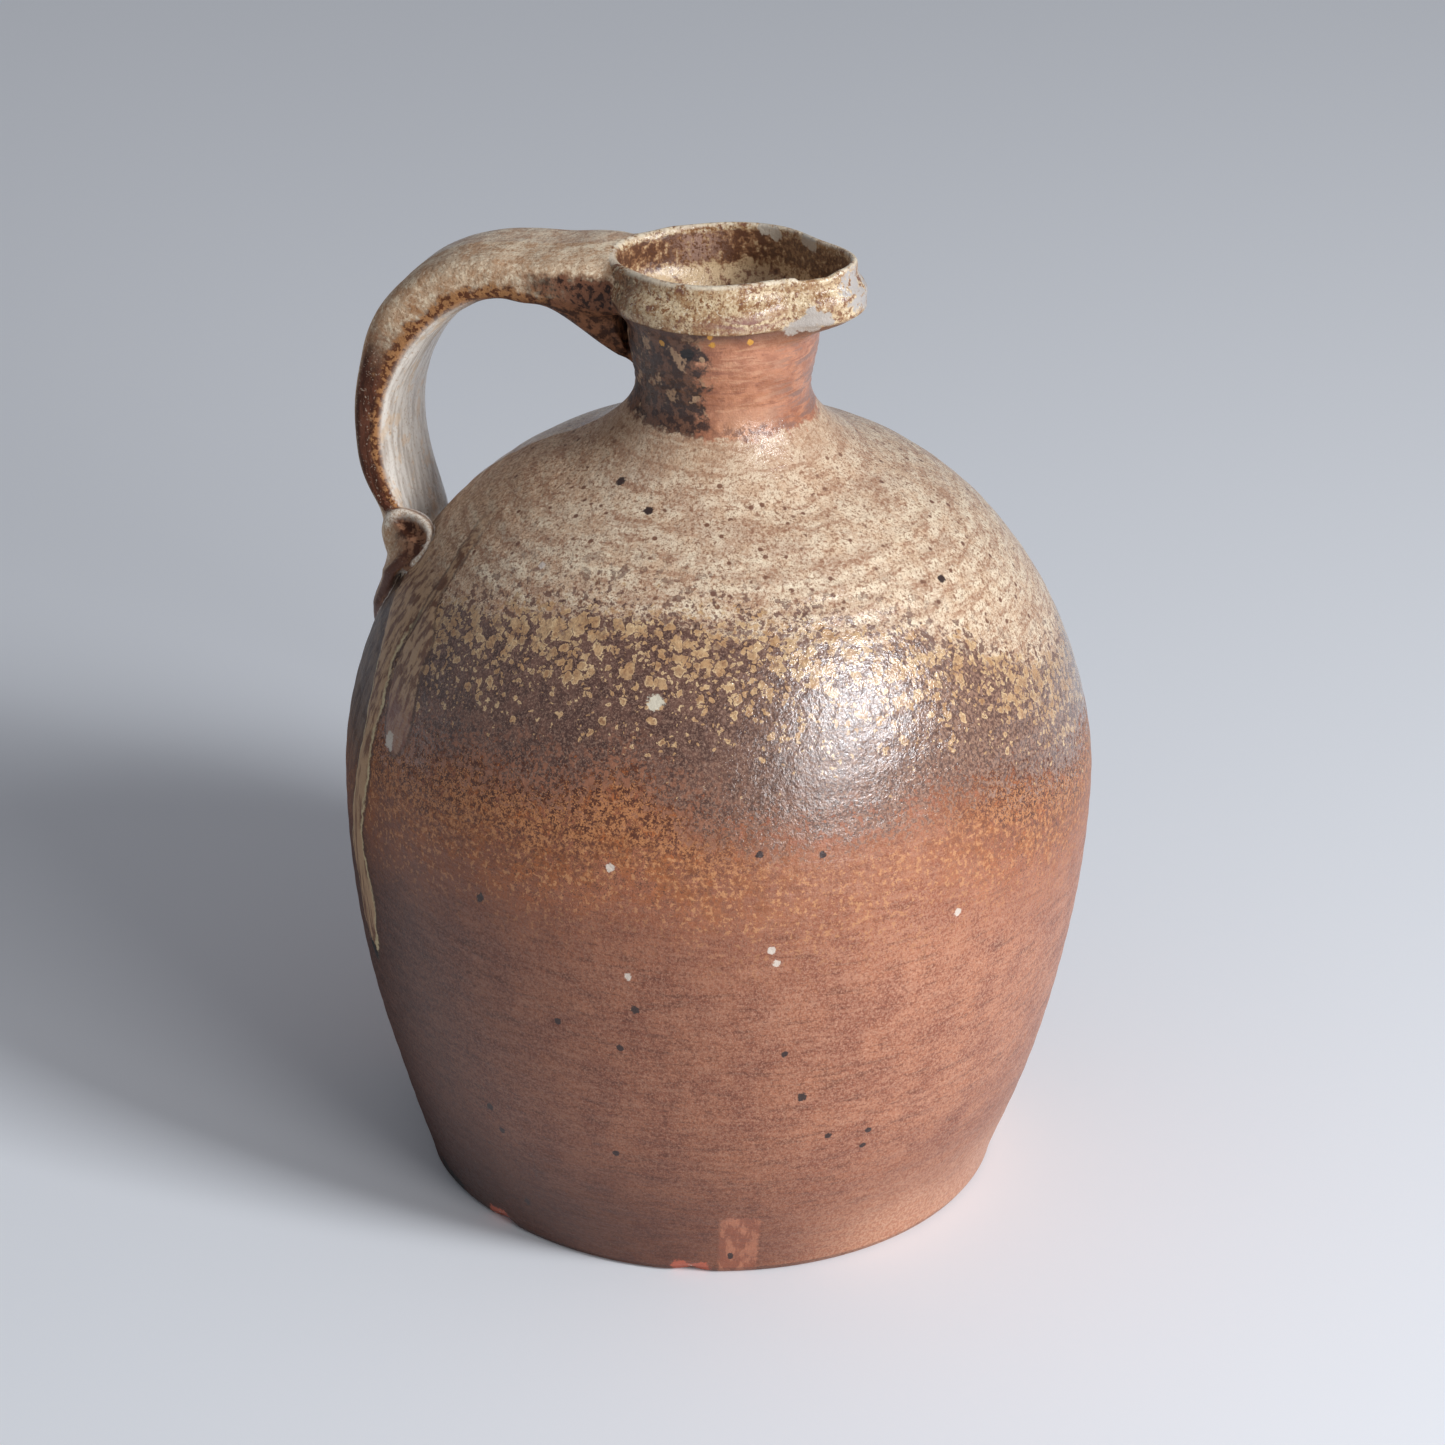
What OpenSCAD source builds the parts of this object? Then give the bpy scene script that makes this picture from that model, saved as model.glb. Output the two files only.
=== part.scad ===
// Wood-fired stoneware jug with a pulled strap handle and a pinched pouring lip.
// It stands on z = 0 with its axis on Z; the handle points to -X and the lip to +X.
// The jug was thrown, the rim was drawn out while wet and the handle was pressed on,
// then all of it was fired together, so it is one solid with one open hollow.
// All sizes are in millimetres.

/* [Body] */
// Widest diameter of the thrown body
body_d = 185; // [175:1:195]
// Diameter of the flat foot
foot_d = 143; // [135:1:150]
// Height of the widest part above the foot
belly_h = 106; // [100:1:110]
// Height of the narrowest part of the neck above the foot
waist_h = 208; // [204:1:211]
// Thickness of the wall of the body
wall_t = 6; // [5:0.5:7]
// Thickness of the floor
floor_t = 9; // [7:0.5:12]

/* [Shoulder] */
// Diameter where the shoulder begins to turn up into the neck
shoulder_d = 82; // [78:1:86]
// Drop from the narrowest part of the neck to that place
shoulder_drop = 20.5; // [19:0.5:22]
// Slope of the shoulder there, in degrees below level
shoulder_slope = 23.5; // [20:0.5:27]

/* [Neck] */
// Narrowest outside diameter of the neck
waist_d = 42; // [40:1:44]
// Outside diameter of the neck where the rim is drawn out of it
throat_d = 46; // [45:1:48]
// Height of that place above the narrowest part
throat_rise = 14; // [12:1:16]
// Thickness of the wall of the neck
neck_t = 5; // [4:0.5:5.5]

/* [Rim and pouring lip] */
// Diameter of the rim before it is drawn out, to the middle of its wall
mouth_d = 45; // [43:1:47]
// Height of the rim above the throat, at the axis
rim_rise = 18.5; // [17:0.5:21]
// Rise of the rim towards the pouring lip, in degrees
rim_tilt = 4.3; // [2:0.1:6]
// How far the pouring lip is drawn out beyond the round rim
lip_out = 10; // [8:0.5:12]
// Half of the angle over which the pouring lip is drawn out
lip_spread = 27; // [24:0.5:30]
// How far the rim is stretched towards the handle
heel_out = 5.6; // [4:0.1:7]
// Half of the angle over which it is stretched
heel_spread = 36; // [31:1:40]
// Thickness of the rim
lip_t = 3; // [2.5:0.1:3.6]
// Height of the rolled collar below the rim
collar_h = 9.5; // [8:0.5:11]
// How far the collar stands out from the neck
collar_out = 2.8; // [2:0.1:3.4]
// Angle from the pouring lip to the pinch that forms it
pinch_at = 33; // [30:1:38]

/* [Handle] */
// Width of the strap
strap_w = 28; // [25:1:31]
// Thickness of the strap in its outer bend
strap_t = 9; // [7.8:0.2:9.8]
// Distance of the outside of the handle from the axis
reach = 92.6; // [90:0.2:94]
// Height of the outermost part of the handle above the foot
reach_h = 188; // [184:1:192]
// Drop of the top of the strap below the rim, halfway along
top_drop = 3.2; // [2.4:0.1:4.4]
// Height at which the strap is pressed on to the shoulder
root_h = 158; // [155:1:161]
// Height at which the wiped tail of the handle ends
tail_h = 127; // [122:1:132]
// Depth of the clay gusset under the upper root
gusset_h = 15; // [12:0.5:16]

/* [Hidden] */
foot_r = foot_d / 2;
belly_r = body_d / 2;
shoulder_r = shoulder_d / 2;
shoulder_h = waist_h - shoulder_drop;
waist_r = waist_d / 2;
throat_r = throat_d / 2;
throat_h = waist_h + throat_rise;
rim_h = throat_h + rim_rise;
foot_bevel = 1.5;
floor_round = 10;
lap = 0.8;         // how deep the drawn rim starts inside the thrown neck
skin = 0.06;       // how far inside the faces of the neck it starts
around = 64;       // steps around the rim
$fn = 72;

clay_red = "#8a4a30";

// ---- curves ----

function bez(p, t) = let (s = 1 - t)
    s*s*s*p[0] + 3*s*s*t*p[1] + 3*s*t*t*p[2] + t*t*t*p[3];

function bez_dir(p, t) = let (s = 1 - t,
    d = s*s*(p[1] - p[0]) + 2*s*t*(p[2] - p[1]) + t*t*(p[3] - p[2])) d / norm(d);

function smooth(x) = let (c = min(1, max(0, x))) c*c*(3 - 2*c);

function mix(a, b, t) = a + (b - a)*t;

// ---- thrown body and neck: one wall, turned on the wheel ----

slope = [-cos(shoulder_slope), sin(shoulder_slope)];

// The outside of the wall in four sweeps, from the foot up to the throat
sweeps = [
    [[foot_r, 0], [foot_r + 1.2, 11], [belly_r, belly_h - 60], [belly_r, belly_h]],
    [[belly_r, belly_h], [belly_r, belly_h + 25],
     [shoulder_r, shoulder_h] - 40.7*slope, [shoulder_r, shoulder_h]],
    [[shoulder_r, shoulder_h], [shoulder_r, shoulder_h] + 9*slope,
     [waist_r, waist_h - 8.5], [waist_r, waist_h]],
    [[waist_r, waist_h], [waist_r, waist_h + 4],
     [throat_r, throat_h - 4.5], [throat_r, throat_h]]
];
sweep_steps = [8, 9, 6, 4];
sweep_wall = [wall_t, wall_t, mix(wall_t, neck_t, 0.5), neck_t, neck_t];

// A point of the wall: side 0 is the outside, side 1 the inside
function wall_at(i, t, side) = let (u = bez_dir(sweeps[i], t),
    w = mix(sweep_wall[i], sweep_wall[i + 1], t)*side)
    bez(sweeps[i], t) + w*[-u.y, u.x];

function wall_line(side) = [for (i = [0:3]) for (k = [0:sweep_steps[i] - 1])
    wall_at(i, k/sweep_steps[i], side)];

module thrown_wall() {
    inside = [for (p = wall_line(1)) if (p.y > floor_t + floor_round) p];
    low = [inside[0].x - 1.5, floor_t + floor_round/2];
    corner = [for (k = [1:4]) bez([inside[0], low, [low.x - 3, floor_t],
        [low.x - floor_round, floor_t]], k/4)];
    outside = [for (p = wall_line(0)) if (p.y > foot_bevel) p];
    rotate_extrude() polygon(concat(
        [[0, 0], [foot_r - foot_bevel, 0], [foot_r, foot_bevel]], outside,
        [[throat_r, throat_h], [throat_r - neck_t, throat_h]],
        [for (k = [len(inside) - 1:-1:0]) inside[k]], corner, [[0, floor_t]]));
}

// ---- drawn rim: the top of the neck, pinched out of round ----

// Distance from the axis to the middle of the rim's wall, a degrees from the lip
function rim_r(a) = mouth_d/2 + lip_out*exp(-pow(abs(a)/lip_spread, 2.2))
    + heel_out*exp(-pow((180 - abs(a))/heel_spread, 1.8));

function rim_z(a) = rim_h + tan(rim_tilt)*rim_r(a)*cos(a);

// The middle of the wall between the throat (v = 0) and the rim (v = 1)
function rim_mid(a, v) = mix(throat_r - neck_t/2, rim_r(a), smooth((v - 0.08)/0.38));

collar_v = 1 - collar_h/rim_rise;

// The collar's roll: it turns out sharply at its lower edge and leans back to the rim
function roll(v) = v < collar_v ? smooth(1 - (collar_v - v)/0.07)
    : pow(cos(90*(v - collar_v)/(1 - collar_v)), 0.8);

// How much of the collar is left: fingers pressed it flat either side of the lip, and it
// fades out where the strap is pressed on
function pinch(a) = (1 - 0.75*exp(-pow((abs(a) - pinch_at)/14, 2)))
    *mix(0.45, 1, smooth(abs(a)/(1.2*pinch_at)))
    *(1 - 0.85*smooth((abs(a) - 124)/24));

function rim_wall(v) = mix(neck_t - 2*skin, lip_t, smooth(v/0.5));

function rim_point(a, v, side) = let (
    top = rim_z(a) - lip_t/2,
    r = rim_mid(a, v) + side*rim_wall(v)/2
        + (side > 0 ? collar_out*roll(v)*pinch(a) : 0))
    [r*cos(a), r*sin(a), mix(throat_h, top, v)];

function rim_edge(a, b) = let (r = rim_r(a) + lip_t/2*cos(b))
    [r*cos(a), r*sin(a), rim_z(a) - lip_t/2 + lip_t/2*sin(b)];

out_v = concat([-lap/rim_rise, 0.1, 0.2, 0.28, 0.36], [for (k = [0:8])
    mix(collar_v - 0.07, 0.97, pow(k/8, 1.2))]);
in_v = [0.9, 0.74, 0.58, 0.46, 0.38, 0.3, 0.22, 0.13, 0.04, -lap/rim_rise];

// One closed section of the wall, up the outside, over the edge and down the inside
function rim_section(a) = concat(
    [for (v = out_v) rim_point(a, v, 1)],
    [for (b = [0:36:180]) rim_edge(a, b)],
    [for (v = in_v) rim_point(a, v, -1)]);

// ---- skin over rings of points: each ring holds the same number of points ----

function quads(n, m, close) = [for (i = [0:n - (close ? 1 : 2)]) for (j = [0:m - 1])
    let (i2 = (i + 1) % n, j2 = (j + 1) % m)
    each [[i*m + j, i2*m + j2, i2*m + j], [i*m + j, i*m + j2, i2*m + j2]]];

module drawn_rim() {
    rings = [for (k = [0:around - 1]) rim_section(k*360/around > 180
        ? k*360/around - 360 : k*360/around)];
    polyhedron([for (r = rings) each r], quads(around, len(rings[0]), true));
}

// ---- pulled strap handle ----

// The top and the underside of the strap, from the rim down to the end of the tail
heel_x = -rim_r(180);
heel_z = rim_z(180) - lip_t/2;
top_mid = [-52, rim_z(180) - top_drop];
under_mid = top_mid + [1, -strap_t - 2];
bend = [-reach, reach_h];
bend_in = [-reach + strap_t, reach_h - 4];
press = [-reach + 8, root_h];
press_in = [-reach + 17, root_h - 0.5];

// A place on the body: a height and how far it stands out from the face of the wall
function side_t(z) = let (n = 40, k = [for (j = [0:n]) if (bez(sweeps[1], j/n).y <= z) j])
    len(k)/n - 0.5/n;
function on_body(z, out) = [-bez(sweeps[1], side_t(z)).x - out, z];

tail_a = on_body(root_h - 7, 3);
tail_b = on_body(root_h - 17, 1.6);
tail_end = on_body(tail_h, -1);
sunk_a = on_body(root_h - 7, -2.6);
sunk_b = on_body(root_h - 17, -2.6);
sunk_end = on_body(tail_h, -3);

over = [
    [[heel_x - 0.2, heel_z + 1.2], [heel_x - 9, heel_z + 0.4], top_mid + [9, 0.5], top_mid],
    [top_mid, top_mid + [-18, -1], bend + [0, 38], bend],
    [bend, bend + [0, -18], press + [-3.5, 9], press],
    [press, press + [1.2, -3], tail_a + [0.3, 3], tail_a],
    [tail_a, tail_a + [-0.5, -4], tail_b + [1.4, 4], tail_b],
    [tail_b, tail_b + [-1.4, -4], tail_end + [-0.3, 7], tail_end]
];
under = [
    [[heel_x + 2.4, heel_z - 13], [heel_x - 6, heel_z - 13], under_mid + [8, -0.6], under_mid],
    [under_mid, under_mid + [-14, 0], bend_in + [0, 18], bend_in],
    [bend_in, bend_in + [0, -11], press_in + [-4.5, 7], press_in],
    [press_in, press_in + [1, -2], sunk_a + [1, 3], sunk_a],
    [sunk_a, sunk_a + [-2, -3], sunk_b + [1.5, 4], sunk_b],
    [sunk_b, sunk_b + [-1.5, -4], sunk_end + [0, 6], sunk_end]
];
part_steps = [6, 12, 6, 4, 3, 4];
// At the ends of those parts, where the strap spreads as it is pressed on to the body:
// its width, how far it was pushed aside, and how far its edge bends in and up
part_w = strap_w*[1, 1, 1, 1.42, 1.5, 1.25, 0.6];
part_aside = [0, 0, 0, -8.5, -8.5, -7.5, -3];
part_in = [6, 0, 0, 13, 5.5, 4, 1];
part_up = [0, 0, 0, 7, 5, 3, 1];

section_n = 24;
edge_round = 0.45;  // 1 is a full oval, 0 a strap with square edges

// A point of the flattened oval that the section of the clay has
function oval(j) = let (b = 360*j/section_n, c = cos(b), s = sin(b))
    [sign(c)*pow(abs(c), edge_round), sign(s)*pow(abs(s), edge_round)];

// The spread starts late on the way down from the bend, and the hug of the rim ends soon
function ease(i, t) = i == 0 ? 1 - pow(1 - t, 2) : i == 2 ? pow(t, 3) : t;

// The section across the strap
function strap_ring(i, t) = let (
    o = bez(over[i], t), u = bez(under[i], t), e = ease(i, t),
    w = mix(part_w[i], part_w[i + 1], e), aside = mix(part_aside[i], part_aside[i + 1], e),
    in = mix(part_in[i], part_in[i + 1], e), up = mix(part_up[i], part_up[i + 1], e))
    [for (j = [0:section_n - 1]) let (c = oval(j).x, s = oval(j).y,
        m = (o + u)/2 + (o - u)/2*s, edge = i < 2 || c < 0 ? c*c : 0)
        [m.x + in*edge, aside + w/2*c, m.y + up*edge]];

module closed_skin(rings) {
    n = len(rings);
    m = len(rings[0]);
    polyhedron([for (r = rings) each r], concat(quads(n, m, false),
        [[for (j = [m - 1:-1:0]) j]], [[for (j = [0:m - 1]) (n - 1)*m + j]]));
}

module strap_handle() {
    closed_skin(concat([for (i = [0:5]) for (k = [0:part_steps[i] - 1])
        strap_ring(i, k/part_steps[i])], [strap_ring(5, 1)]));
}

// The gusset of clay smeared into the corner between the neck and the strap
module gusset() {
    low = [-throat_r + 2.4, under_mid.y - gusset_h];
    foot_line = [low, low + [-7, 3.5], under_mid + [15, -3.5], under_mid + [4, 0.8]];
    top_line = [[heel_x + 5, under_mid.y + 3], [heel_x, under_mid.y + 3],
        under_mid + [14, 3], under_mid + [2, 3]];
    closed_skin([for (k = [0:8]) let (t = k/8, o = bez(top_line, t), u = bez(foot_line, t),
        w = mix(0.62, 0.85, smooth(2*t))*strap_w)
        [for (j = [0:section_n - 1]) let (c = oval(j).x, s = oval(j).y,
            m = (o + u)/2 + (o - u)/2*s)
            [m.x, w/2*c*mix(0.65, 1, smooth((s + 1)/1.4)), m.y]]]);
}

module jug() {
    color(clay_red) union() {
        thrown_wall();
        drawn_rim();
        strap_handle();
        gusset();
    }
}

jug();
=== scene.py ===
"""A wood-fired stoneware juglet with a pinched pouring lip and a pulled strap handle.

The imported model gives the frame. The wall is spun from its profile, the rim is drawn out of it,
the strap is pulled and luted on, and one ash glaze over bare red clay finishes all of it.
Lengths are in millimetres until a piece is placed, and metres after that.
"""
import math

import bmesh
import bpy
import numpy as np
from mathutils import Matrix, Vector, kdtree, noise


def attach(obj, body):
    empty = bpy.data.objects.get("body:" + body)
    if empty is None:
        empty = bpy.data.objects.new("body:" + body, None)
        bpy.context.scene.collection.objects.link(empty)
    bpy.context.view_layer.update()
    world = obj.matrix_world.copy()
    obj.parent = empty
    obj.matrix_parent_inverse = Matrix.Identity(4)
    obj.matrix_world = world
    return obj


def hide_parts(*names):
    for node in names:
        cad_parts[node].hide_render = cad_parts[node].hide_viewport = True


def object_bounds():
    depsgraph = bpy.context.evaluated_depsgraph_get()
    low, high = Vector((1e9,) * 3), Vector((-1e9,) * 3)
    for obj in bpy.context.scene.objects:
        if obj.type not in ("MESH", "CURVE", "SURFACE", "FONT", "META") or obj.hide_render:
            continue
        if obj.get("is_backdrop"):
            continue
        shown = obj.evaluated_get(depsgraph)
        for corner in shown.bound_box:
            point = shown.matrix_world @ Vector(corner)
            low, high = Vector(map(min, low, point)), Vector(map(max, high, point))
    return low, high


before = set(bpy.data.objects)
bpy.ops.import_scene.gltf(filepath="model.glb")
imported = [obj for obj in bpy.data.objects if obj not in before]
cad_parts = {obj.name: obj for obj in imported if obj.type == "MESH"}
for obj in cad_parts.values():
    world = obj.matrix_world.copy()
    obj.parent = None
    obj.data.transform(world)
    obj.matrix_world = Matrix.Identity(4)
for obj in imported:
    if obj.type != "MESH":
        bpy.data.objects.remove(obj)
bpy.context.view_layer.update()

# Thrown wall: foot, body, shoulder and neck, turned on the wheel in one go from red stoneware
# clay. Its profile is a line of close rows that is spun around the axis; the rows of the rim are
# part of the same line, because the rim was drawn out of this wall.

MM = 0.001
FOOT_R = 71.5
FOOT_BEVEL = 1.5
BELLY_R, BELLY_H = 92.5, 106
SHOULDER_R, SHOULDER_H = 41, 187.5
SHOULDER_SLOPE = math.radians(23.5)
WAIST_R, WAIST_H = 21, 208
THROAT_R, THROAT_H = 23, 222
WALL, NECK_WALL, LIP_WALL = 6, 5, 3
FLOOR, FLOOR_ROUND = 9, 10
COLUMNS = 216


def mix(a, b, t):
    return a + (b - a) * t


def smooth(x):
    c = np.clip(x, 0, 1)
    return c * c * (3 - 2 * c)


def bezier(points, t):
    a, b, c, d = (np.array(p, float) for p in points)
    t = np.asarray(t, float)[..., None]
    s = 1 - t
    return s**3 * a + 3 * s * s * t * b + 3 * s * t * t * c + t**3 * d


def bezier_normal(points, t):
    a, b, c, d = (np.array(p, float) for p in points)
    t = np.asarray(t, float)[..., None]
    s = 1 - t
    way = s * s * (b - a) + 2 * s * t * (c - b) + t * t * (d - c)
    way /= np.linalg.norm(way, axis=-1, keepdims=True)
    return np.stack([-way[..., 1], way[..., 0]], -1)


shoulder = np.array([SHOULDER_R, SHOULDER_H])
slope = np.array([-math.cos(SHOULDER_SLOPE), math.sin(SHOULDER_SLOPE)])
sweeps = [
    [(FOOT_R, 0), (FOOT_R + 1.2, 11), (BELLY_R, BELLY_H - 60), (BELLY_R, BELLY_H)],
    [(BELLY_R, BELLY_H), (BELLY_R, BELLY_H + 25), shoulder - 40.7 * slope, shoulder],
    [shoulder, shoulder + 9 * slope, (WAIST_R, WAIST_H - 8.5), (WAIST_R, WAIST_H)],
    [(WAIST_R, WAIST_H), (WAIST_R, WAIST_H + 4), (THROAT_R, THROAT_H - 4.5), (THROAT_R, THROAT_H)],
]
sweep_wall = [WALL, WALL, (WALL + NECK_WALL) / 2, NECK_WALL, NECK_WALL]


def wall_line(steps, inside):
    """Points of the wall from the foot up to the throat, on its outside or its inside."""
    rows = []
    for i, (sweep, n) in enumerate(zip(sweeps, steps)):
        t = np.arange(n) / n
        thick = mix(sweep_wall[i], sweep_wall[i + 1], t)[:, None] * inside
        rows.append(bezier(sweep, t) + thick * bezier_normal(sweep, t))
    return np.concatenate(rows)


outside = wall_line([96, 92, 26, 14], 0)
outside = outside[outside[:, 1] > FOOT_BEVEL]
inside = wall_line([18, 20, 10, 6], 1)
inside = inside[inside[:, 1] > FLOOR + FLOOR_ROUND]
corner_low = np.array([inside[0, 0] - 1.5, FLOOR + FLOOR_ROUND / 2])
corner = bezier([inside[0], corner_low, (corner_low[0] - 3, FLOOR),
                 (corner_low[0] - FLOOR_ROUND, FLOOR)], np.arange(1, 5) / 4)
foot = [(r, 0) for r in (0, 25, 50, 62, 67, FOOT_R - FOOT_BEVEL)]
foot += [(FOOT_R - 0.45, 0.45), (FOOT_R, FOOT_BEVEL)]
floor_rows = [(r, FLOOR) for r in (44, 28, 12, 0)]

# Drawn rim: the top of the neck, thinned and rolled over into a collar, pulled out of round
# towards the handle and pinched between two fingers into the pouring lip.

MOUTH_R = 22.5
RIM_H = THROAT_H + 18.5
RIM_TILT = math.tan(math.radians(4.3))
LIP_OUT, LIP_SPREAD = 10, 27
HEEL_OUT, HEEL_SPREAD = 5.6, 36
COLLAR_V = 1 - 9.5 / 18.5
COLLAR_OUT = 2.8
PINCH_AT = 33


def rim_r(a):
    """Distance from the axis to the middle of the rim's wall, a degrees from the lip."""
    a = np.abs(a)
    return (MOUTH_R + LIP_OUT * np.exp(-((a / LIP_SPREAD) ** 2.2))
            + HEEL_OUT * np.exp(-(((180 - a) / HEEL_SPREAD) ** 1.8)))


def rim_z(a):
    return RIM_H + RIM_TILT * rim_r(a) * np.cos(np.radians(a))


def thinned(a):
    """What the wet leather took off the rim's outside, up to where the strap is pressed on."""
    return 1.2 * (1 - smooth((np.abs(a) - 128) / 26))


def collar(a, v):
    """How far the rolled collar stands out: sharp at its lower edge, pressed flat by the lip."""
    low = smooth(1 - (COLLAR_V - v) / 0.07)
    high = np.cos(np.radians(90 * np.clip((v - COLLAR_V) / (1 - COLLAR_V), 0, 1))) ** 0.8
    pinch = 1 - 0.75 * np.exp(-(((np.abs(a) - PINCH_AT) / 14) ** 2))
    pinch = pinch * mix(0.45, 1, smooth(np.abs(a) / (1.2 * PINCH_AT)))
    pinch = pinch * (1 - 0.85 * smooth((np.abs(a) - 124) / 24))
    return COLLAR_OUT * np.where(v < COLLAR_V, low, high) * pinch


def rim_wall(a, v, side):
    """A point of the rim's wall between the throat, v = 0, and the rim, v = 1."""
    middle = mix(THROAT_R - NECK_WALL / 2, rim_r(a), smooth((v - 0.08) / 0.38))
    half = mix(NECK_WALL, LIP_WALL, smooth(v / 0.5)) / 2
    r = middle + side * half
    if side > 0:
        r = r + collar(a, v) - thinned(a) * smooth((v - 0.72) / 0.25)
    return r, mix(THROAT_H, rim_z(a) - LIP_WALL / 2, v) + 0 * r


def rim_edge(a, b):
    """A point of the rounded edge of the rim, b radians round from its outside."""
    half = (LIP_WALL - thinned(a)) / 2
    return rim_r(a) + half * np.cos(b) - thinned(a) / 2, rim_z(a) - half + half * np.sin(b)


outer_v = [0.0, 0.07, 0.14, 0.2, 0.26, 0.31, 0.36, 0.4]
outer_v += list(mix(COLLAR_V - 0.07, 0.975, np.linspace(0, 1, 18)))
edge_b = list(np.radians(np.arange(0, 181, 22.5)))
inner_v = [0.93, 0.86, 0.78, 0.7, 0.62, 0.54, 0.46, 0.38, 0.3, 0.2, 0.1, 0.0]
rim_rows = [lambda a, v=v: rim_wall(a, v, 1) for v in outer_v]
rim_rows += [lambda a, b=b: rim_edge(a, b) for b in edge_b]
rim_rows += [lambda a, v=v: rim_wall(a, v, -1) for v in inner_v]

below = np.concatenate([foot, outside])
above = np.concatenate([inside[::-1], corner, floor_rows])
round_rim = np.array([row(np.float64(90)) for row in rim_rows])
profile = np.concatenate([below, round_rim, above])


def new_object(name, points, edges=(), faces=()):
    mesh = bpy.data.meshes.new(name)
    mesh.from_pydata([tuple(p) for p in points], edges, faces)
    obj = bpy.data.objects.new(name, mesh)
    bpy.context.scene.collection.objects.link(obj)
    return obj


def activate(*objs):
    """Deselects everything, then selects these objects and makes the first one active."""
    bpy.ops.object.select_all(action="DESELECT")
    for o in objs:
        o.select_set(True)
    bpy.context.view_layer.objects.active = objs[0]


def get_points(obj):
    co = np.zeros(len(obj.data.vertices) * 3)
    obj.data.vertices.foreach_get("co", co)
    return co.reshape(-1, 3) / MM


def get_normals(obj):
    co = np.zeros(len(obj.data.vertices) * 3)
    obj.data.vertices.foreach_get("normal", co)
    return co.reshape(-1, 3)


def set_points(obj, points):
    obj.data.vertices.foreach_set("co", (points * MM).astype(np.float32).ravel())
    obj.data.update()


juglet = new_object("juglet", [(r * MM, 0, z * MM) for r, z in profile],
                    [(i, i + 1) for i in range(len(profile) - 1)])
row_of = juglet.data.attributes.new("row", "INT", "POINT")
row_of.data.foreach_set("value", np.arange(len(profile), dtype=np.int32))
activate(juglet)
bpy.ops.object.mode_set(mode="EDIT")
bpy.ops.mesh.select_all(action="SELECT")
bpy.ops.mesh.spin(steps=COLUMNS, angle=2 * math.pi, center=(0, 0, 0), axis=(0, 0, 1))
bpy.ops.mesh.select_all(action="SELECT")
bpy.ops.mesh.remove_doubles(threshold=0.00001)
bpy.ops.mesh.normals_make_consistent(inside=False)
bpy.ops.object.mode_set(mode="OBJECT")

points = get_points(juglet)
row = np.zeros(len(points), np.int32)
juglet.data.attributes["row"].data.foreach_get("value", row)
angle = np.degrees(np.arctan2(points[:, 1], points[:, 0]))
for i, place in enumerate(rim_rows):
    here = row == len(below) + i
    r, z = place(angle[here])
    points[here] = np.stack([r * np.cos(np.radians(angle[here])),
                             r * np.sin(np.radians(angle[here])), z], 1)
set_points(juglet, points)
juglet.data.attributes.remove(juglet.data.attributes["row"])

# Strap handle: clay pulled by wet hands into a flat strap, pressed on behind the rim, bent over
# and wiped down the shoulder. A gusset of clay is smeared into the corner under its upper root.

STRAP_W, STRAP_T = 28, 9
REACH, REACH_H = 92.6, 188
TOP_DROP = 3.2
ROOT_H, TAIL_H = 158, 127
GUSSET_H = 15
ROUND = 60  # points around the strap


def on_body(z, out):
    """A place on the side with the handle, at a height and so far out from the face of the wall."""
    line = bezier(sweeps[1], np.linspace(0, 1, 401))
    return np.array([-np.interp(z, line[:, 1], line[:, 0]) - out, z])


def at(x, z):
    return np.array([x, z], float)


heel = at(-rim_r(180), rim_z(180) - LIP_WALL / 2)
top = at(-52, rim_z(180) - TOP_DROP)
under_top = top + at(1, -STRAP_T - 2)
bend, bend_in = at(-REACH, REACH_H), at(-REACH + STRAP_T, REACH_H - 4)
press, press_in = at(-REACH + 8, ROOT_H), at(-REACH + 17, ROOT_H - 0.5)
tail_a, tail_b = on_body(ROOT_H - 7, 3), on_body(ROOT_H - 17, 1.6)
sunk_a, sunk_b = on_body(ROOT_H - 7, -2.6), on_body(ROOT_H - 17, -2.6)
tail_end, sunk_end = on_body(TAIL_H, -1), on_body(TAIL_H, -3)
over = [
    [heel + at(-0.7, 1.4), heel + at(-9, 1.1), top + at(9, 0.5), top],
    [top, top + at(-18, -1), bend + at(0, 38), bend],
    [bend, bend + at(0, -18), press + at(-3.5, 9), press],
    [press, press + at(1.2, -3), tail_a + at(0.3, 3), tail_a],
    [tail_a, tail_a + at(-0.5, -4), tail_b + at(1.4, 4), tail_b],
    [tail_b, tail_b + at(-1.4, -4), tail_end + at(-0.3, 7), tail_end],
]
under = [
    [heel + at(1.6, -13), heel + at(-6, -13), under_top + at(8, -0.6), under_top],
    [under_top, under_top + at(-14, 0), bend_in + at(0, 18), bend_in],
    [bend_in, bend_in + at(0, -11), press_in + at(-4.5, 7), press_in],
    [press_in, press_in + at(1, -2), sunk_a + at(1, 3), sunk_a],
    [sunk_a, sunk_a + at(-2, -3), sunk_b + at(1.5, 4), sunk_b],
    [sunk_b, sunk_b + at(-1.5, -4), sunk_end + at(0, 6), sunk_end],
]
part_steps = [22, 44, 26, 9, 8, 12]
part_w = [STRAP_W * w for w in (1, 1, 1, 1.42, 1.5, 1.25, 0.6)]
part_aside = [0, 0, 0, -8.5, -8.5, -7.5, -3]
part_in = [6, 0, 0, 13, 5.5, 4, 1]
part_up = [0, 0, 0, 7, 5, 3, 1]

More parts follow.
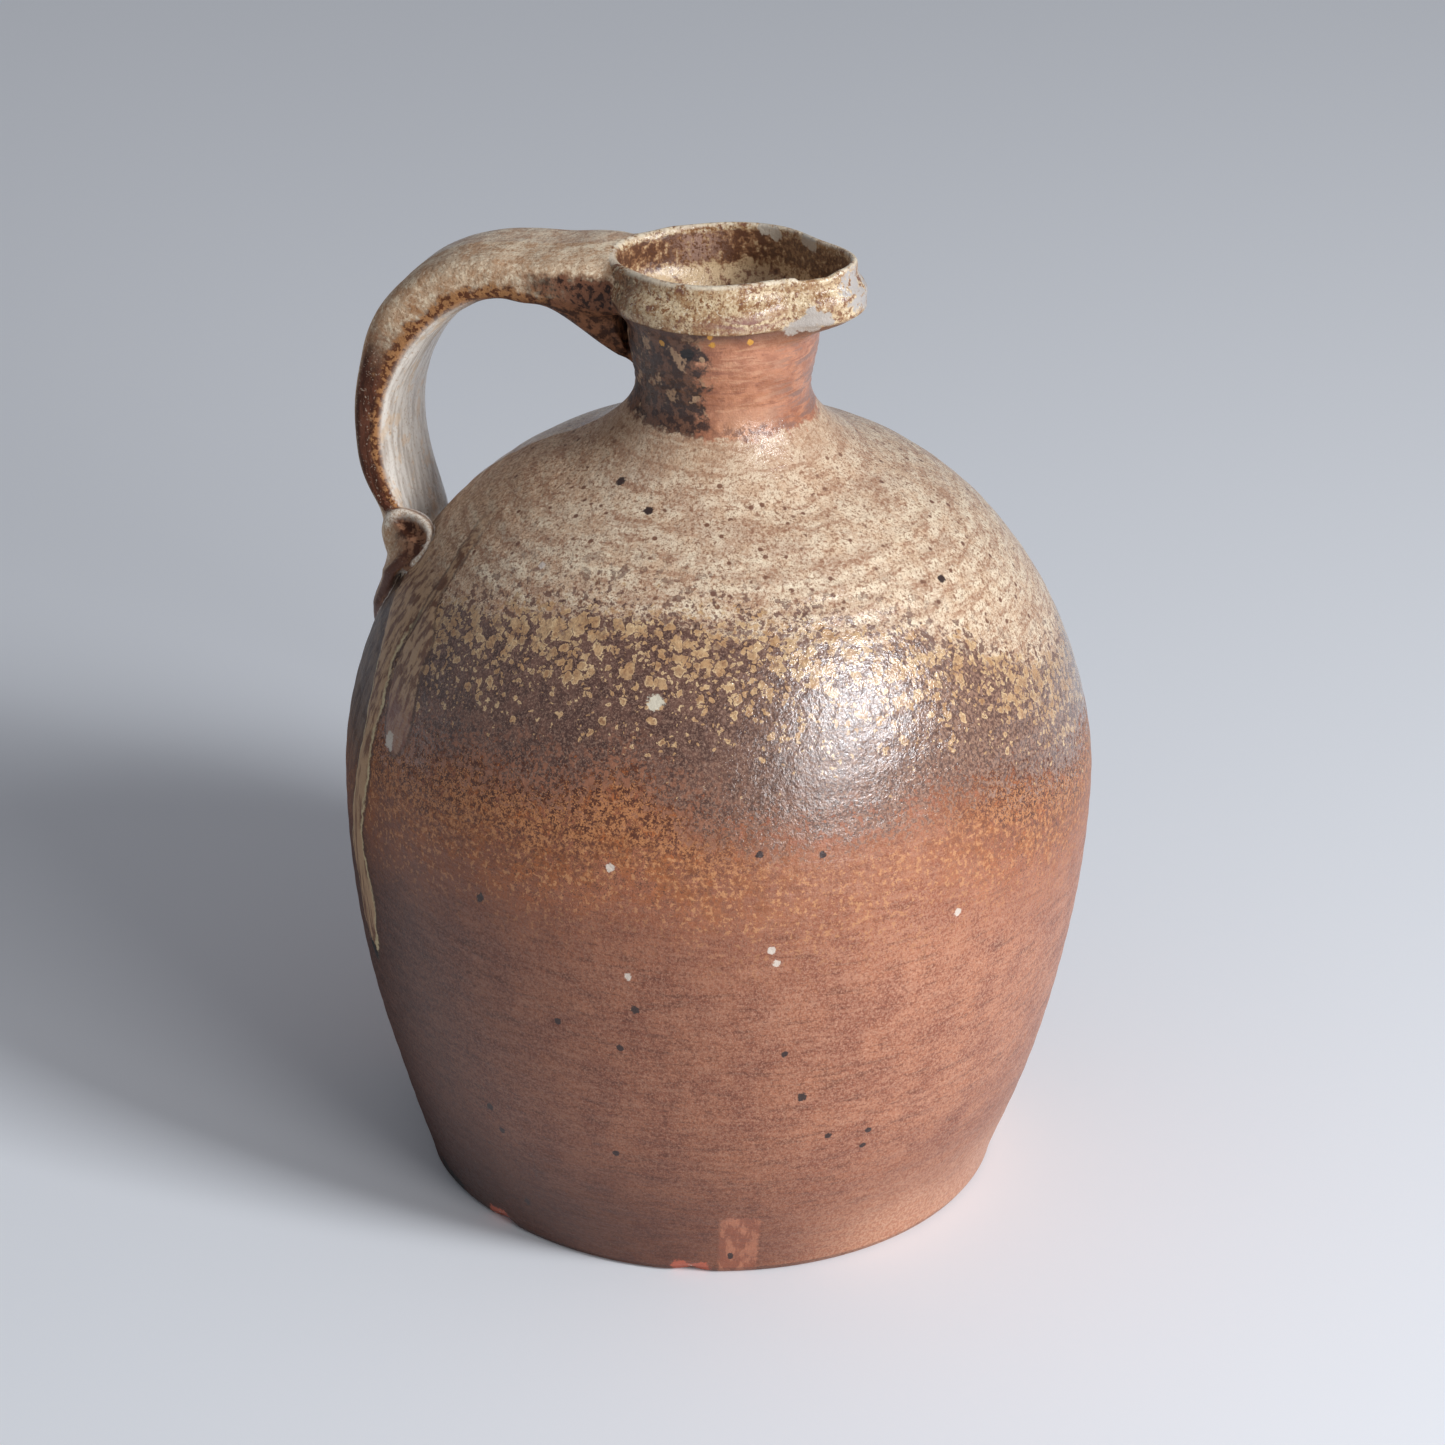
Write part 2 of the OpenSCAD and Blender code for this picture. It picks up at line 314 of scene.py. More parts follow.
# The strap's section is a flattened oval; its points are spread evenly along it
turn = np.linspace(0, 2 * math.pi, 4001)
oval = np.stack([np.sign(np.cos(turn)) * np.abs(np.cos(turn)) ** 0.45,
                 np.sign(np.sin(turn)) * np.abs(np.sin(turn)) ** 0.45], 1)
strides = np.linalg.norm(np.diff(oval * (STRAP_W, STRAP_T), axis=0), axis=1)
walked = np.concatenate([[0], np.cumsum(strides)])
evenly = np.arange(ROUND) * walked[-1] / ROUND
oval_x, oval_z = np.interp(evenly, walked, oval[:, 0]), np.interp(evenly, walked, oval[:, 1])


def loft(name, rings):
    """Skins rings of points by extruding a circle from ring to ring, and closes both ends."""
    bpy.ops.object.select_all(action="DESELECT")
    bpy.ops.mesh.primitive_circle_add(vertices=ROUND, radius=0.01, fill_type="NOTHING")
    obj = bpy.context.active_object
    obj.name = obj.data.name = name
    place = obj.data.attributes.new("place", "INT", "POINT")
    place.data.foreach_set("value", np.arange(ROUND, dtype=np.int32))
    bpy.ops.object.mode_set(mode="EDIT")
    bpy.ops.mesh.select_all(action="SELECT")
    for k, ring in enumerate(rings):
        if k:
            bpy.ops.mesh.extrude_region()
        bm = bmesh.from_edit_mesh(obj.data)
        layer = bm.verts.layers.int["place"]
        for v in bm.verts:
            if v.select:
                v.co = ring[v[layer]] * MM
    for ring in (rings[0], rings[-1]):
        # strips across the ring, so that the end follows the bend of the section
        ends = {v[layer]: v for v in bm.verts
                if v.is_boundary and (v.co - Vector(ring[v[layer]] * MM)).length < 1e-6}
        for i in range(ROUND // 2):
            strip = [ends[k % ROUND] for k in (i, i + 1, ROUND - i - 1, ROUND - i)]
            bm.faces.new(list(dict.fromkeys(strip)))
    bmesh.update_edit_mesh(obj.data)
    bpy.ops.mesh.select_all(action="SELECT")
    bpy.ops.mesh.normals_make_consistent(inside=False)
    bpy.ops.object.mode_set(mode="OBJECT")
    obj.data.attributes.remove(obj.data.attributes["place"])
    return obj


def section(top_point, under_point, width, aside=0, inward=0, up=0, both=True):
    """The section across the clay between its two faces, with its edges bent in and up."""
    middle, half = (top_point + under_point) / 2, (top_point - under_point) / 2
    edge = oval_x**2 * (both | (oval_x < 0))
    return np.stack([middle[0] + half[0] * oval_z + inward * edge, aside + width / 2 * oval_x,
                     middle[1] + half[1] * oval_z + up * edge], 1)


strap_rings = []
for i, n in enumerate(part_steps):
    for k in range(n + (i == len(part_steps) - 1)):
        t = k / n
        ease = 1 - (1 - t) ** 2 if i == 0 else t**3 if i == 2 else t
        width, aside, inward, up = (mix(part[i], part[i + 1], ease)
                                    for part in (part_w, part_aside, part_in, part_up))
        strap_rings.append(section(bezier(over[i], t), bezier(under[i], t),
                                   width, aside, inward, up, i < 2))
strap = loft("strap", strap_rings)

gusset_low = at(-THROAT_R + 2.4, under_top[1] - GUSSET_H)
gusset_foot = [gusset_low, gusset_low + at(-7, 3.5), under_top + at(15, -3.5), under_top + at(4, 0.8)]
gusset_top = [at(heel[0] + 1.6, under_top[1] + 3), at(heel[0], under_top[1] + 3),
              under_top + at(14, 3), under_top + at(2, 3)]
gusset_rings = []
for t in np.linspace(0, 1, 17):
    width = mix(0.62, 0.85, smooth(2 * t)) * STRAP_W
    ring = section(bezier(gusset_top, t), bezier(gusset_foot, t), width)
    ring[:, 1] *= mix(0.65, 1, smooth((oval_z + 1) / 1.4))
    gusset_rings.append(ring)
gusset = loft("gusset", gusset_rings)

# The thumb that pressed the strap on folded a lobe of its clay over on to the body: the lobe's
# outline, and the crest that curls around the hollow the thumb left, from the strap and down
LOBE_EDGE = [(-82.7, -17.7, 163.4), (-81.8, -18.3, 166), (-80.3, -17.5, 167.4), (-78.3, -16.6, 167.8),
             (-75.4, -16.3, 167.7), (-72.2, -16.8, 167.5), (-68.9, -18.8, 167), (-66.5, -21.6, 165.8),
             (-65, -25.2, 164.7), (-64.9, -28.4, 163.2), (-65.9, -30, 160.9), (-68.1, -30.5, 158.3),
             (-71.6, -28.6, 155.5), (-75.1, -27.5, 155.4), (-79.1, -23.5, 156.8), (-81.4, -20.6, 159.4),
             (-83, -18.4, 161.2)]
LOBE_CREST = [(-80.3, -19.9, 164.2), (-79.5, -20.3, 166.3), (-78.4, -20.4, 167.6), (-76.5, -19.8, 168.2),
              (-73.8, -20.4, 168.3), (-71.2, -21.5, 168.3), (-68.3, -23.1, 167.7), (-66.4, -25.1, 166.8),
              (-65.4, -27.7, 165.7), (-65.7, -29.9, 164.1), (-66.9, -30.8, 162), (-68.7, -31, 159.8),
              (-72.4, -28.6, 157.5), (-74.9, -27.1, 158.3), (-77.7, -24.1, 159.2), (-79.2, -21.8, 161.1),
              (-80.5, -20.2, 162.7)]
LOBE_MIDDLE = (-72.6, -25.5, 163.9)
LOBE_SUNK = 6  # how deep the lobe starts inside the strap
lobe_edge, lobe_crest = np.array(LOBE_EDGE, float), np.array(LOBE_CREST, float)
lobe_middle = np.array(LOBE_MIDDLE)
front = np.array([0.32, -0.83, 0.45])
sunk = lobe_edge - LOBE_SUNK * front
shells = [sunk, lobe_edge, mix(lobe_edge, lobe_crest, 0.6) + 0.4 * front, lobe_crest,
          mix(lobe_crest, lobe_middle, 0.35) - 0.8 * front,
          mix(lobe_crest, lobe_middle, 0.7) - 1.2 * front]
n, last = len(lobe_edge), len(lobe_edge) * (len(shells) - 1)
ends = [sunk.mean(0), lobe_middle - 1.2 * front]
lobe_faces = [(k * n + i, k * n + (i + 1) % n, (k + 1) * n + (i + 1) % n, (k + 1) * n + i)
              for k in range(len(shells) - 1) for i in range(n)]
lobe_faces += [((i + 1) % n, i, last + n) for i in range(n)]
lobe_faces += [(last + i, last + (i + 1) % n, last + n + 1) for i in range(n)]
lobe = new_object("lobe", [p * MM for p in np.concatenate(shells + [ends])], (), lobe_faces)
activate(lobe)
bpy.ops.object.mode_set(mode="EDIT")
bpy.ops.mesh.select_all(action="SELECT")
bpy.ops.mesh.normals_make_consistent(inside=False)
bpy.ops.object.mode_set(mode="OBJECT")
rounded = lobe.modifiers.new("rounded", "SUBSURF")
rounded.levels = rounded.render_levels = 2
bpy.ops.object.modifier_apply(modifier=rounded.name)

# each piece of clay keeps a mark of its own through the unions, so that the seams are found after
parts = [juglet, strap, gusset, lobe]
clay_marks = [bpy.data.materials.new("part%d" % k) for k in range(len(parts))]
for i, part in enumerate(parts):
    for mark in clay_marks:
        part.data.materials.append(mark)
    part.data.polygons.foreach_set("material_index", np.full(len(part.data.polygons), i, np.int32))
for part in (gusset, lobe, strap):  # the lobe goes on before the strap that covers its root
    activate(juglet)
    union = juglet.modifiers.new("luted on", "BOOLEAN")
    union.operation, union.solver, union.object = "UNION", "EXACT", part
    bpy.ops.object.modifier_apply(modifier=union.name)
    bpy.data.objects.remove(part)

# Wet clay: the joins are smeared over, the wheel and the fingers leave their marks, and edges are
# chipped where the fired juglet was knocked. The places along the strap are kept for the glaze.

HOLLOW = [(-74.3, -22.9, 165.5), (-69.9, -26.7, 164.4)]

# the crest's free part, in steps of about half a millimetre
ridge = np.concatenate([np.linspace(a, b, 7)[:-1] for a, b in zip(LOBE_CREST[:11], LOBE_CREST[1:12])])


def hill(value, middle, half):
    """1 at the middle, falling smoothly to 0 at half to either side."""
    return smooth(1 - np.abs(value - middle) / half)


def distance_to(places, at_points):
    return np.min(np.linalg.norm(at_points[:, None] - np.asarray(places, float)[None], axis=2), axis=1)


# finer faces round the lobe, so that its crest stays crisp
centres = np.zeros(len(juglet.data.polygons) * 3)
juglet.data.polygons.foreach_get("center", centres)
near_root = distance_to(ridge, centres.reshape(-1, 3) / MM) < 7
activate(juglet)
bpy.ops.object.mode_set(mode="EDIT")
bpy.ops.mesh.select_all(action="DESELECT")
bpy.ops.object.mode_set(mode="OBJECT")
juglet.data.polygons.foreach_set("select", near_root)
bpy.ops.object.mode_set(mode="EDIT")
bpy.ops.mesh.subdivide(number_cuts=1)
bpy.ops.object.mode_set(mode="OBJECT")

points = get_points(juglet)
owner = np.zeros(len(juglet.data.polygons), np.int32)
juglet.data.polygons.foreach_get("material_index", owner)
owners = [set() for _ in points]
for polygon, who in zip(juglet.data.polygons, owner):
    for v in polygon.vertices:
        owners[v].add(int(who))
handle = np.array([0 if who == {0} else 1 for who in owners], float)

# the joins are smeared over: a little at the lower root, and wide under the rim
seam = points[[i for i, who in enumerate(owners) if len(who) > 1]]
handle_side = np.where((points[:, 0] < 0) & (points[:, 2] > 115))[0]
from_seam = np.full(len(points), 99.0)
for batch in np.array_split(handle_side, 60):
    from_seam[batch] = distance_to(seam, points[batch])
upper = (points[:, 2] > 200) & (np.hypot(points[:, 0], points[:, 1]) > 15)
for name, reach, times, here in (("smeared low", 3.5, 12, ~upper), ("smeared high", 5.5, 36, upper)):
    group = juglet.vertex_groups.new(name=name)
    for i in np.where(here & (from_seam < reach))[0]:
        group.add([int(i)], float(smooth(1 - from_seam[i] / reach)), "REPLACE")
    soft = juglet.modifiers.new(name, "SMOOTH")
    soft.factor, soft.iterations, soft.vertex_group = 0.5, times, name
    bpy.ops.object.modifier_apply(modifier=soft.name)
juglet.vertex_groups.clear()
points = get_points(juglet)

# where each place lies along, across and through the strap, and what is inside the mouth
LIGHT_REACH = 60  # how far past the mouth's radius the finish of the inside goes
on_strap = np.concatenate(strap_rings)
steps = [np.linalg.norm(b.mean(0) - a.mean(0)) for a, b in zip(strap_rings[:-1], strap_rings[1:])]
ring_along = np.concatenate([[0], np.cumsum(steps)])
tree = kdtree.KDTree(len(on_strap))
for k, p in enumerate(on_strap):
    tree.insert(p, k)
tree.balance()
nearest = np.array([tree.find(p)[1] if h else 0 for p, h in zip(points, handle)])
normals = get_normals(juglet)
inward = (normals[:, :2] * points[:, :2]).sum(1) < 0
mouth_r = rim_r(np.degrees(np.arctan2(points[:, 1], points[:, 0])))
lit = np.hypot(points[:, 0], points[:, 1]) < mouth_r + LIGHT_REACH
within = ((handle == 0) & inward & lit).astype(float)
for name, values in (("handle", handle), ("along", ring_along[nearest // ROUND]),
                     ("across", oval_x[nearest % ROUND]), ("face", oval_z[nearest % ROUND]),
                     ("within", within),
                     ("ridge", handle * hill(distance_to(ridge, points), 0.3, 2.0)),
                     ("hollow", handle * hill(distance_to(HOLLOW, points), 1, 7))):
    layer = juglet.data.attributes.new(name, "FLOAT", "POINT")
    layer.data.foreach_set("value", values.astype(np.float32))


# two runs of glaze down the handle's side: height, and the degrees back from the lip of both edges
OLIVE = [(66, 138.5, 136.5), (72, 140, 135), (79, 141.9, 134), (86, 141.9, 133.7), (93, 144.2, 135.3),
         (100, 143.4, 137), (110, 141.8, 135.8), (120, 141.1, 135.5), (128, 141.6, 136.6),
         (137, 144, 136.6), (145, 147.6, 138.8), (153, 155.5, 138.4), (162, 158, 137.7), (170, 160, 137.7)]
TONGUE = [(128.5, 131, 128.5), (131, 133, 127), (135, 134.6, 126.5), (143, 137.4, 127.8),
          (150, 138.4, 129.4), (156, 138.6, 130.5), (161, 139.2, 135), (167, 140.3, 137),
          (172, 143, 138.6), (177, 147, 142.4), (181, 150, 146)]


def lumps(size):
    return np.array([noise.noise(Vector(p / size)) for p in points])


x, y, z = points.T
angle = np.degrees(np.arctan2(y, x))
wall = 1 - handle
outer = (normals[:, 0] * x + normals[:, 1] * y > 0).astype(float)
out = np.stack([np.cos(np.radians(angle)), np.sin(np.radians(angle)), 0 * z], 1)


def ridges(rise, wobble, size):
    """The ridges that the fingers leave on the wheel, one turn for each rise, slightly uneven."""
    return np.sin(2 * math.pi * (z - angle / 360 * rise) / rise + wobble * lumps(size))


BODY_RISE, SHOULDER_RISE, NECK_RISE = 6.4, 3.9, 2.6
lift = 0.4 * lumps(42) * smooth(z / 12) * smooth((246 - z) / 8)
lift += wall * 0.045 * ridges(BODY_RISE, 3, 60) * smooth(z / 20) * smooth((200 - z) / 20)
lift += wall * 0.09 * ridges(SHOULDER_RISE, 3, 30) * hill(z, 176, 22)
lift += wall * 0.12 * ridges(NECK_RISE, 2, 12) * hill(z, 214, 13)
lift += handle * 0.3 * lumps(9)
for run, high in ((OLIVE, 0.45), (TONGUE, 0.4)):
    heights, backs, fronts = np.array(run).T
    depth = np.minimum(np.interp(z, heights, backs) + angle, -angle - np.interp(z, heights, fronts))
    depth = np.minimum(depth * np.hypot(x, y) * math.pi / 180, z - heights[0])
    lift += wall * outer * high * smooth(depth / 1.8) * smooth((heights[-1] - z) / 14)
near_crest = hill(distance_to(ridge, points), 0, 2.2)
lift += handle * 0.5 * near_crest
lift -= handle * 1.5 * hill(distance_to(HOLLOW, points), 0, 6) * (1 - near_crest)

# a soft roll low on the collar and a groove under its edge
drop = rim_z(angle) - z + 0.5 * lumps(14)
lift += wall * outer * (z > 226) * (0.3 * hill(drop, 7.4, 2) - 0.4 * hill(drop, 3.6, 2.4))
points += normals * lift[:, None]

# slightly out of round by the lip and at the foot, a notch in the rim and two chips off the foot
spread = 1.0 * hill(angle, 15, 46) * hill(z, 174, 16) + 1.2 * hill(angle, -140, 26) * smooth(1 - z / 36)
points += out * (wall * outer * spread)[:, None]
notch = smooth((angle + 29) / 3) * smooth((-8 - angle) / 7) * smooth((z - 237.5) / 2.5)
points[:, 2] -= 0.9 * notch
for middle, half in ((-115.5, 4), (-73, 5)):
    chipped = hill(angle, middle, half) * smooth(1 - (z - 0.4) / 3.4) * (np.hypot(x, y) > 60)
    points -= out * (1.3 * chipped)[:, None]
points[:, 2] = np.where(z < 0.01, 0, np.maximum(points[:, 2], 0))
set_points(juglet, points)

# Ash glaze over red stoneware clay. Fly ash settled on the shoulder, rim and strap as a cream to
# tan glaze, ran into dark purple-brown below, and the clay is bare and flame-flashed under that.
# All of it is one material on the juglet's own coordinates in millimetres.

stoneware = bpy.data.materials.new("ash glazed stoneware")
stoneware.use_nodes = True
nodes, links = stoneware.node_tree.nodes, stoneware.node_tree.links


def linear(code):
    """An sRGB hex colour as the linear colour that a shader takes."""
    parts = [int(code[i:i + 2], 16) / 255 for i in (1, 3, 5)]
    return tuple(c / 12.92 if c <= 0.04045 else ((c + 0.055) / 1.055) ** 2.4 for c in parts) + (1,)


def add(kind, inputs, **settings):
    """Adds a node with its settings, its constant inputs and its links."""
    node = nodes.new("ShaderNode" + kind)
    for name, value in settings.items():
        setattr(node, name, value)
    for key, value in inputs.items():
        if isinstance(value, bpy.types.NodeSocket):
            links.new(value, node.inputs[key])
        else:
            node.inputs[key].default_value = value
    return node


def calc(operation, *values):
    """The sum, product, larger value and so on of numbers that vary over the surface."""
    return add("Math", dict(enumerate(values)), operation=operation).outputs[0]


def fade(value, start, end):
    """0 before start, 1 past end, smooth between."""
    return add("MapRange", {0: value, 1: start, 2: end}, interpolation_type="SMOOTHSTEP").outputs[0]


def band(value, middle, half):
    """1 at the middle, falling to 0 at half to either side."""
    return fade(calc("ABSOLUTE", calc("SUBTRACT", value, middle)), half, 0)


def both(a, b):
    return calc("MULTIPLY", a, b)


def neither(a):
    return calc("SUBTRACT", 1, a)


def noisy(value, specks, size):
    """A value that a cloud carries up and down, by half of size either way."""
    return calc("ADD", value, both(calc("SUBTRACT", specks, 0.5), size))


def halves(a, b):
    """The mean of two clouds, with the grain of both."""
    return calc("ADD", both(a, 0.5), both(b, 0.5))


def blend(amount, under, over):
    """A colour laid over another by an amount from 0 to 1."""
    colours = {6 + i: linear(c) if isinstance(c, str) else c for i, c in enumerate((under, over))}
    return add("Mix", {0: amount, **colours}, data_type="RGBA").outputs[2]


def darkened(amount, colour, share):
    """A colour taken down to a share of its red, green and blue."""
    down = add("VectorMath", {0: colour, 1: share}, operation="MULTIPLY").outputs[0]
    return blend(amount, colour, down)


def cloud(size, detail=3, rough=0.55, on=None):
    """Soft noise about 0.5, with lumps of a size in millimetres."""
    return add("TexNoise", {"Vector": on or mm, "Scale": 1 / size, "Detail": detail,
                            "Roughness": rough}).outputs[0]


def cells(size, on):
    """Cells of a size in millimetres, for what lies in separate spots."""
    return add("TexVoronoi", {"Vector": on, "Scale": 1 / size})


def curve(value, low, high, line, top=250):
    """A smooth line through its points, read between low and high."""
    node = add("FloatCurve", {1: calc("DIVIDE", calc("SUBTRACT", value, low), high - low)})
    spots = node.mapping.curves[0].points
    places = [((u - low) / (high - low), v / top) for u, v in line]
    spots[0].location, spots[1].location = places[0], places[-1]
    for place in places[1:-1]:
        spots.new(*place)
    node.mapping.update()
    return both(node.outputs[0], top)


def attribute(name):
    """A value that the mesh keeps at its points."""
    return add("Attribute", {}, attribute_name=name).outputs["Fac"]


metres = add("TexCoord", {}).outputs["Object"]
mm = add("VectorMath", {0: metres, 3: 1 / MM}, operation="SCALE").outputs[0]
axes = add("SeparateXYZ", {0: mm}).outputs
px, py, pz = axes[0], axes[1], axes[2]
around = both(calc("ARCTAN2", py, px), 57.2958)
radius = calc("SQRT", calc("ADD", both(px, px), both(py, py)))
handle_f, along_f, across_f, face_f = (attribute(n) for n in ("handle", "along", "across", "face"))
within, crest_highlight, hollow_shade = (attribute(n) for n in ("within", "ridge", "hollow"))
level_mm = add("VectorMath", {0: mm, 1: (0.16, 0.16, 1)}, operation="MULTIPLY").outputs[0]
upright_mm = add("VectorMath", {0: mm, 1: (1, 1, 0.14)}, operation="MULTIPLY").outputs[0]
strap_mm = add("CombineXYZ", {0: both(along_f, 0.16), 1: both(across_f, 13),
                              2: both(face_f, 4)}).outputs[0]

# the clouds that every part of the finish shares, from the grain of the clay to broad patches
fine = cloud(0.45, 2, 0.7)
grain = cloud(0.8, 3, 0.7)
speck = cloud(1.3, 3, 0.65)
blot = cloud(2.4, 4, 0.65)
patch = cloud(4.6, 3, 0.6)
broad = cloud(11, 3, 0.6)
streak = cloud(1.5, 4, 0.65, level_mm)
drag = cloud(2.2, 4, 0.6, upright_mm)
pull = cloud(1.8, 5, 0.65, strap_mm)

# bare clay: red-brown, with painted shade darkening it and its flecks towards the left, and tan at the foot
# by the lip
painted_shade = fade(around, -80, -142)
clay = blend(fade(broad, 0.36, 0.64), "#9b5a41", "#b67354")
clay = blend(painted_shade, clay, "#512e24")
clay = blend(both(fade(streak, 0.52, 0.62), 0.5), clay, blend(painted_shade, "#c4876a", "#7d5243"))
clay = blend(both(fade(streak, 0.46, 0.36), 0.6), clay, blend(painted_shade, "#76432f", "#3f231b"))
clay = blend(both(fade(grain, 0.5, 0.58), 0.38), clay, blend(painted_shade, "#cd977b", "#8a5f4d"))
clay = blend(both(fade(grain, 0.48, 0.4), 0.45), clay, blend(painted_shade, "#6b3a29", "#3a1f18"))
clay = blend(both(fade(fine, 0.53, 0.6), 0.45), clay, blend(painted_shade, "#dba88d", "#9a6f5c"))
# painted shade: the clay darker towards the foot
clay = blend(both(fade(pz, 56, 2), 0.5), clay, "#6d3a29")
# painted shade: darker on the lower left, and darkest at its foot
shaded_low_left = both(fade(pz, 138, 102), fade(around, -34, -82))
clay = darkened(shaded_low_left, clay, (0.68, 0.64, 0.62))
shaded_foot_left = both(fade(pz, 46, 8), fade(around, -60, -104))
clay = darkened(shaded_foot_left, clay, (0.55, 0.48, 0.42))
# a shallow mark pressed in at the foot, in degrees from the lip
MARK_AT = -62.8
pressed = both(band(calc("ADD", around, both(speck, 2)), MARK_AT, 4.6),
               fade(calc("ADD", pz, both(speck, 4)), 22.5, 20))
pressed = fade(pressed, 0.02, 0.2)
clay = blend(both(pressed, 0.6), clay, blend(fade(drag, 0.44, 0.56), "#a05c44", "#cf8666"))
tan_foot = both(fade(calc("ADD", pz, both(broad, 22)), 42, 18), fade(around, -62, -28))
clay = blend(both(tan_foot, 0.75), clay, blend(fade(grain, 0.42, 0.58), "#c38263", "#dda889"))

# the glaze line goes up and down around the body
ragged = calc("SUBTRACT", calc("ADD", both(broad, 14), both(blot, 9)), 11.5)
dark_foot = curve(around, -180, 180, [(-180, 132), (-148, 130), (-128, 131), (-115, 134), (-105, 136),
    (-94, 135), (-84, 140), (-71.5, 133), (-53, 129), (-29, 132), (-3, 124), (40, 128), (100, 135),
    (150, 130), (180, 132)])
cream_foot = curve(around, -180, 180, [(-180, 160), (-139, 158), (-126, 164), (-114, 168), (-100, 171),
    (-82, 172), (-65, 171), (-49, 168), (-35, 166), (-23, 162), (-11.5, 154), (-1, 146), (30, 144),
    (80, 160), (130, 166), (180, 160)])
above_dark = calc("ADD", calc("SUBTRACT", pz, dark_foot), ragged)
above_cream = calc("ADD", calc("SUBTRACT", pz, cream_foot), ragged)
right = fade(around, -92, -20)

# fine orange and brown stipple where the last ash fluxed the clay
flashed = neither(both(both(fade(around, -84, -52), fade(around, -14, -40)), 0.75))
flash = blend(both(fade(above_dark, -46, -8), both(flashed, 0.55)), clay, "#a96442")
warm = both(fade(above_dark, -34, -8), fade(patch, 0.46, 0.56))
flash = blend(both(warm, both(flashed, 0.7)), flash, "#b5672f")
freckle = calc("ADD", halves(grain, fine), both(above_dark, 0.0028))
flash = blend(both(fade(freckle, 0.47, 0.51), both(flashed, fade(above_dark, -52, -14))), flash, "#6a3d2a")
flash = blend(both(fade(speck, 0.56, 0.61), both(fade(above_dark, -44, -12), 0.8)), flash, "#cd9265")
stipple = blend(fade(halves(speck, fine), 0.46, 0.53), "#593122", "#c08052")
skin = blend(both(fade(above_dark, -24, -3), both(flashed, fade(blot, 0.36, 0.5))), flash, stipple)

# dark purple-brown glaze, dissolving into the stipple at its lower edge
dark = blend(fade(patch, 0.4, 0.62), "#4b2e25", "#684639")
dark = blend(both(fade(grain, 0.51, 0.6), 0.5), dark, "#977360")
dark = blend(both(fade(fine, 0.54, 0.62), 0.45), dark, "#b3907a")
dark = blend(both(fade(speck, 0.5, 0.58), both(fade(above_dark, 18, 0), 0.8)), dark, "#a4694a")
# partly the glaze's real tan mottle, partly painted light: the dark glaze is lighter towards the lit right
dark = blend(both(right, 0.7), dark, blend(fade(grain, 0.42, 0.58), "#5f4237", "#a27c66"))
dark_here = fade(calc("ADD", both(above_dark, 0.02), calc("SUBTRACT", speck, 0.5)), -0.03, 0.04)
skin = blend(dark_here, skin, dark)

# cream islands: closer and larger going up until they run together
bend = add("TexNoise", {"Vector": mm, "Scale": 0.62, "Detail": 3}).outputs[1]
bend = add("VectorMath", {0: bend, 3: 2.9}, operation="SCALE").outputs[0]
bend_mm = add("VectorMath", {0: mm, 1: bend}, operation="ADD").outputs[0]
rise = fade(above_cream, -30, 6)
crowd = fade(above_cream, -42, 5)
island = None
for size, share, reach_out in ((2.9, 0.56, 0.69), (1.6, 0.46, 0.6325)):
    spot = cells(size, bend_mm)
    chance = add("SeparateColor", {0: spot.outputs["Color"]}).outputs[0]
    wide = both(calc("ADD", crowd, 0.1), reach_out)
    wide = calc("SUBTRACT", wide, both(chance, share))
    inner = calc("SUBTRACT", wide, spot.outputs["Distance"])
    island = inner if island is None else calc("MAXIMUM", island, inner)
ash = blend(fade(patch, 0.38, 0.62), "#c3986b", "#e2c194")
ash = blend(both(fade(island, 0.06, 0.17), calc("SUBTRACT", 0.9, both(rise, 0.4))), ash,
            blend(fade(speck, 0.42, 0.56), "#8d6143", "#b98d62"))
ash = blend(both(fade(grain, 0.46, 0.36), 0.5), ash, "#84583d")
skin = blend(fade(island, -0.01, 0.05), skin, ash)

# the solid cream of the shoulder, with ring streaks, purple-brown patches and fine iron specks
cream = blend(fade(patch, 0.38, 0.62), "#d6b697", "#e9d2b5")
cream = blend(both(fade(broad, 0.5, 0.66), 0.45), cream, "#b38f78")
# painted shade: a darker, warmer copy of the cream on the far left
cream = blend(both(fade(around, -108, -140), 0.6), cream, blend(fade(drag, 0.4, 0.6), "#b88c6c", "#dfb996"))
cream = blend(both(fade(streak, 0.52, 0.6), 0.7), cream, "#ab7f63")
cream = blend(both(fade(streak, 0.42, 0.34), 0.6), cream, "#f0dcbd")
up_a_turn = calc("SUBTRACT", calc("ADD", pz, both(broad, 8)), both(around, SHOULDER_RISE / 360))
wheel = calc("SINE", both(up_a_turn, 2 * math.pi / SHOULDER_RISE))
wheel_lines = both(band(pz, 173, 15), fade(patch, 0.4, 0.56))
cream = blend(both(fade(wheel, 0.3, 0.95), both(wheel_lines, 0.6)), cream, "#f1dec1")
cream = blend(both(fade(wheel, -0.3, -0.95), both(wheel_lines, 0.45)), cream, "#ad8468")
cream = blend(both(fade(grain, 0.54, 0.64), 0.5), cream, "#f4e3c8")
cream = blend(both(fade(grain, 0.46, 0.38), 0.8), cream, "#8f6247")
cream = blend(both(fade(fine, 0.45, 0.38), 0.6), cream, "#8a5f45")
cream = blend(both(fade(speck, 0.41, 0.35), 0.75), cream, "#8a6048")
specks = both(fade(cells(4.2, mm).outputs["Distance"], 0.2, 0.12), fade(patch, 0.44, 0.5))
cream = blend(specks, cream, "#7a5440")
solid = fade(calc("ADD", both(above_cream, 0.05), calc("SUBTRACT", blot, 0.5)), 0.02, 0.2)
skin = blend(solid, skin, cream)
patches = both(fade(blot, 0.55, 0.59), band(above_cream, 4, 13))
skin = blend(both(patches, 0.9), skin, "#6b493d")
# painted shade at the base of the neck
skin = blend(both(fade(pz, 190, 200), 0.45), skin, "#b08a6c")

